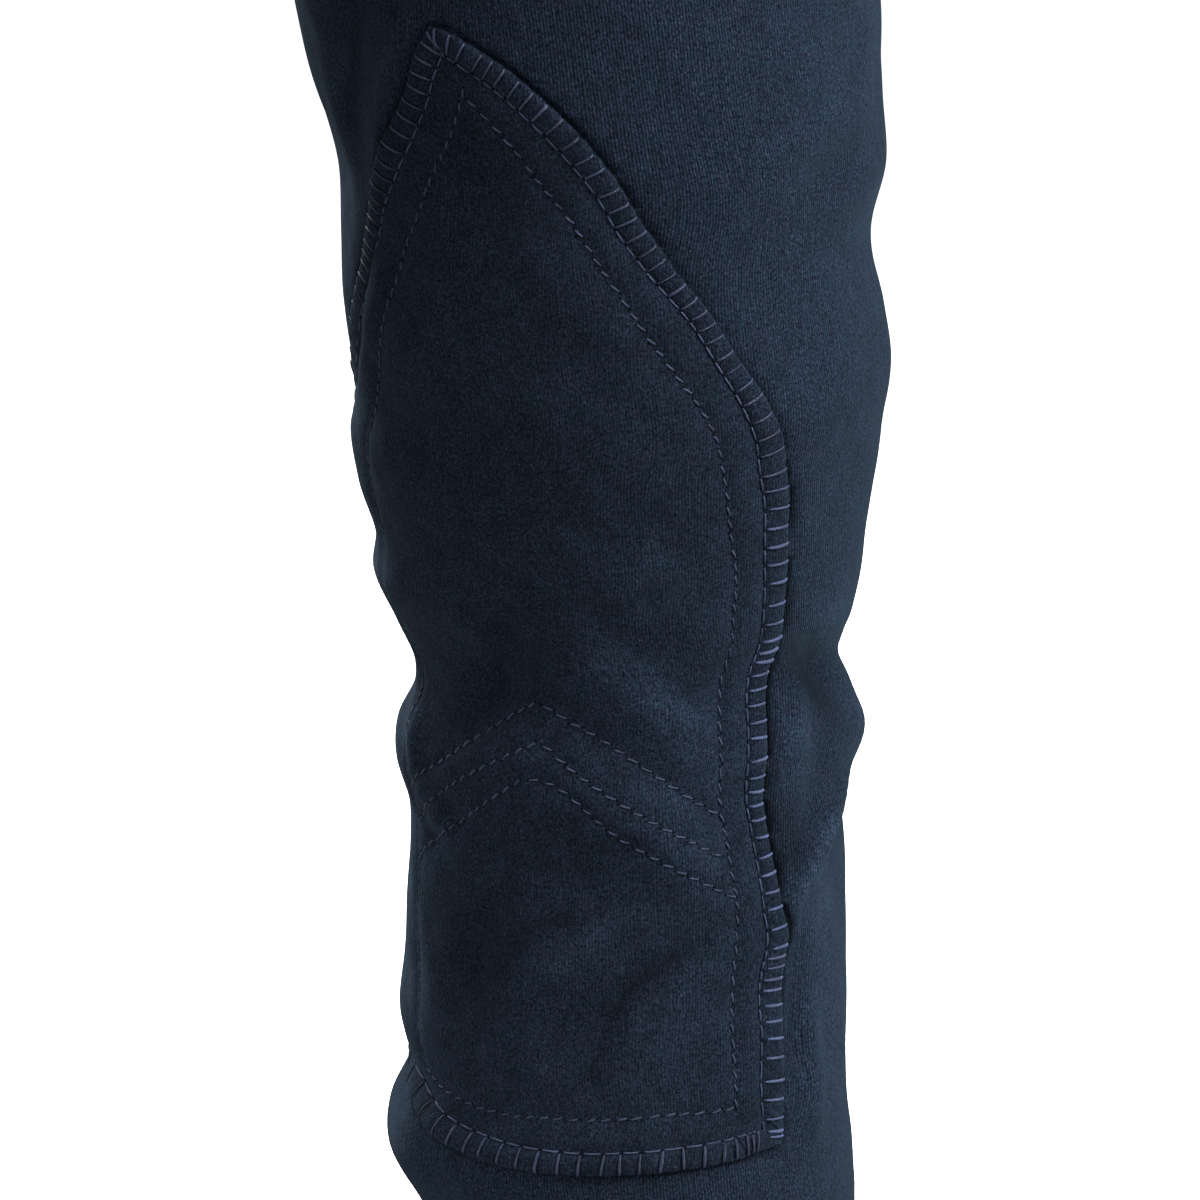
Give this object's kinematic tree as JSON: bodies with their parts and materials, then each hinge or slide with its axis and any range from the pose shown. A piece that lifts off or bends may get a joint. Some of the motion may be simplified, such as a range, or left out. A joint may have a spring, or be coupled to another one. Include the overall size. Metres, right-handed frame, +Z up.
{
  "type": "riding breeches",
  "caption": "Close-fitting riding breeches in a worn, hollow form, with pointed knee patches sewn on the fronts, a waistband and a fly flap.",
  "frame": {"origin": "middle of the waistband's top edge, where the wearer's waist holds the garment", "axes": "+Z up out of the waist, -Y the way the garment faces, +X the wearer's left"},
  "size_m": [0.4822, 0.3076, 0.93],
  "materials": {
    "breeches_cloth": "finely ribbed stretch cotton with a soft nap",
    "patch_cloth": "brushed stretch cotton",
    "button_plastic": "satin"
  },
  "bodies": {
    "root": {"front_left": "breeches_cloth", "front_right": "breeches_cloth", "back_left": "breeches_cloth", "back_right": "breeches_cloth", "waistband": "breeches_cloth", "fly_flap": "breeches_cloth", "button": "button_plastic", "knee_patch_left": "patch_cloth", "knee_patch_right": "patch_cloth"}
  },
  "joints": []
}
